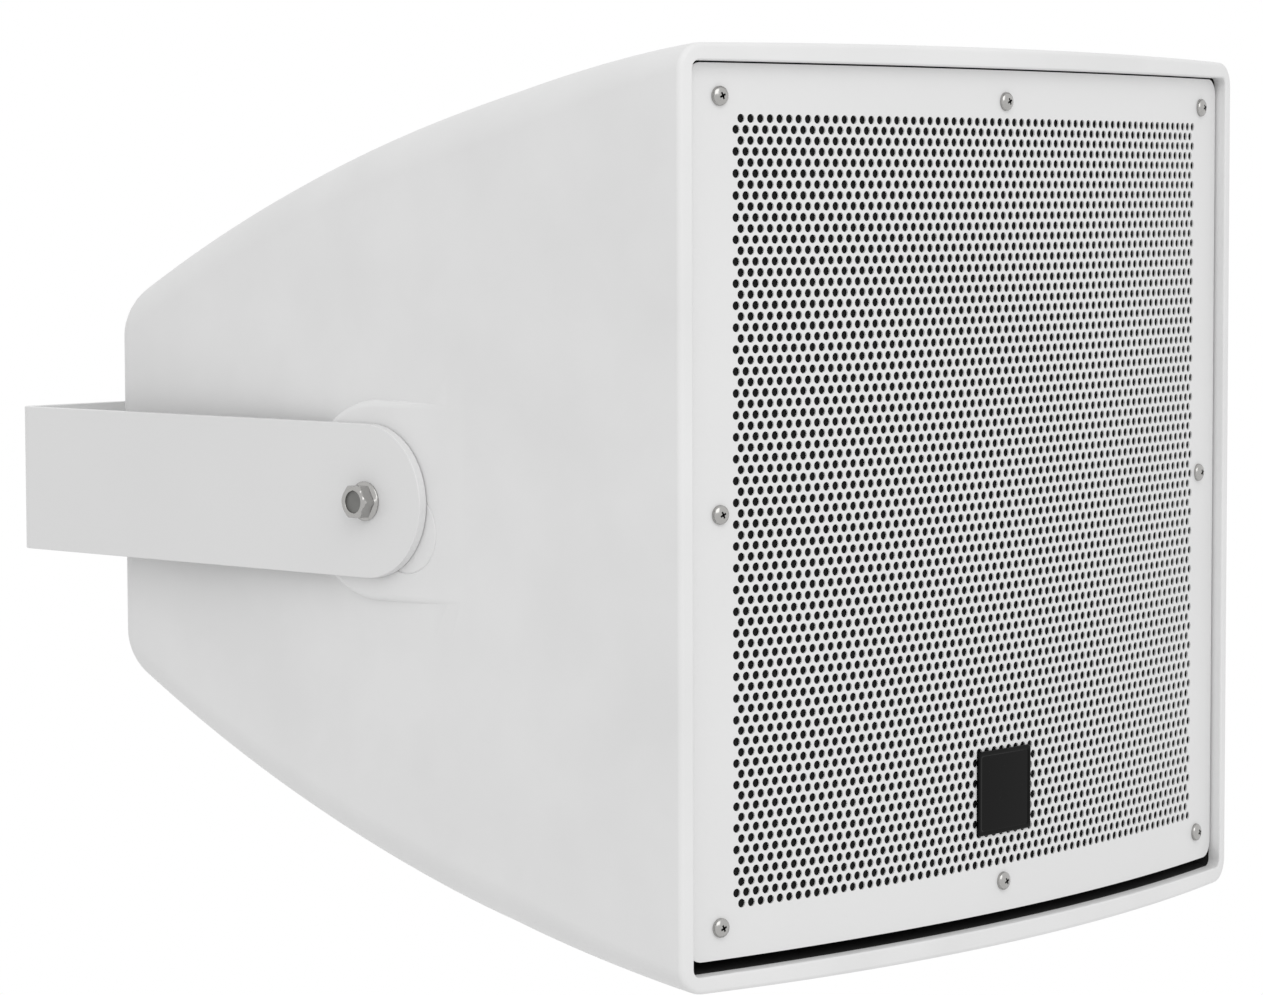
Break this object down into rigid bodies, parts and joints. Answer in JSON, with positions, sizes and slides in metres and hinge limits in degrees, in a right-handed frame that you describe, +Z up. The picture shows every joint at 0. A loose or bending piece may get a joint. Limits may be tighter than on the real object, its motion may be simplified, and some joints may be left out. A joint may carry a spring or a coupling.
{
  "type": "wall subwoofer",
  "caption": "Deep moulded wall subwoofer with a bowed perforated grille, a cone driver inside and a U bracket it tilts in.",
  "frame": {"origin": "middle of the bracket's wall face, on the axis of its middle hole", "axes": "+Y into the wall, so the grille faces -Y; +Z up; +X to the right seen from the front"},
  "size_m": [0.461, 0.52, 0.46],
  "materials": {
    "white_shell": "fine moulded texture",
    "white_powder_coat": "satin powder coat",
    "white_grille_coat": "satin powder coat",
    "black_foam": "open cell foam",
    "stainless_steel": "bright",
    "zinc_steel": "zinc plated",
    "black_steel": "black oxide",
    "black_rubber": "matt",
    "insert_brass": "turned",
    "badge_black": "gloss",
    "black_board": "black painted plywood",
    "black_plastic": "satin",
    "basket_paint": "cast, painted black",
    "terminal_board": "laminate",
    "ferrite": "ground",
    "surround_cloth": "coated cloth",
    "spider_cloth": "treated cloth",
    "cone_paper": "coated pulp",
    "copper_wire": "enamelled copper",
    "cream_plastic": "moulded",
    "circuit_board": "laminate",
    "capacitor_sleeve": "shrink sleeve",
    "wire_sleeve": "soft sleeve"
  },
  "bodies": {
    "bracket": {"wall_bracket": "white_powder_coat"},
    "cabinet": {"cabinet_shell": "white_shell", "input_plate": "white_powder_coat", "grille": "white_grille_coat", "grille_foam": "black_foam", "grille_screws": "stainless_steel", "input_screws": "stainless_steel", "pivot_bolts": "zinc_steel", "grille_standoffs": "zinc_steel", "top_plate": "zinc_steel", "pole_piece": "zinc_steel", "baffle_screws": "black_steel", "driver_screws": "black_steel", "pivot_washers": "black_rubber", "baffle_gasket": "black_rubber", "driver_gasket": "black_rubber", "input_gasket": "black_rubber", "gland_seal": "black_rubber", "pivot_inserts": "insert_brass", "badge_plate": "badge_black", "baffle_board": "black_board", "port_tubes": "black_plastic", "cable_gland": "black_plastic", "gland_cap_nut": "black_plastic", "gland_lock_nut": "black_plastic", "driver_basket": "basket_paint", "driver_terminals": "terminal_board", "ring_magnet": "ferrite", "surround": "surround_cloth", "spider": "spider_cloth", "filter_coil": "copper_wire", "terminal_strip": "cream_plastic", "filter_board": "circuit_board", "filter_capacitors": "capacitor_sleeve", "speaker_wires": "wire_sleeve"},
    "cone": {"cone": "cone_paper", "dust_cap": "cone_paper", "voice_coil": "copper_wire"}
  },
  "joints": [
    {"name": "tilt", "type": "hinge", "parent": "bracket", "child": "cabinet", "pos_m": [0, -0.277, 0], "axis": [1, 0, 0], "range_deg": [-90, 90]},
    {"name": "cone_travel", "type": "slide", "parent": "cabinet", "child": "cone", "axis": [0, -1, 0], "range_m": [-0.008, 0.008], "stiffness_N_per_m": 7500, "deforming": ["surround", "spider"]}
  ]
}
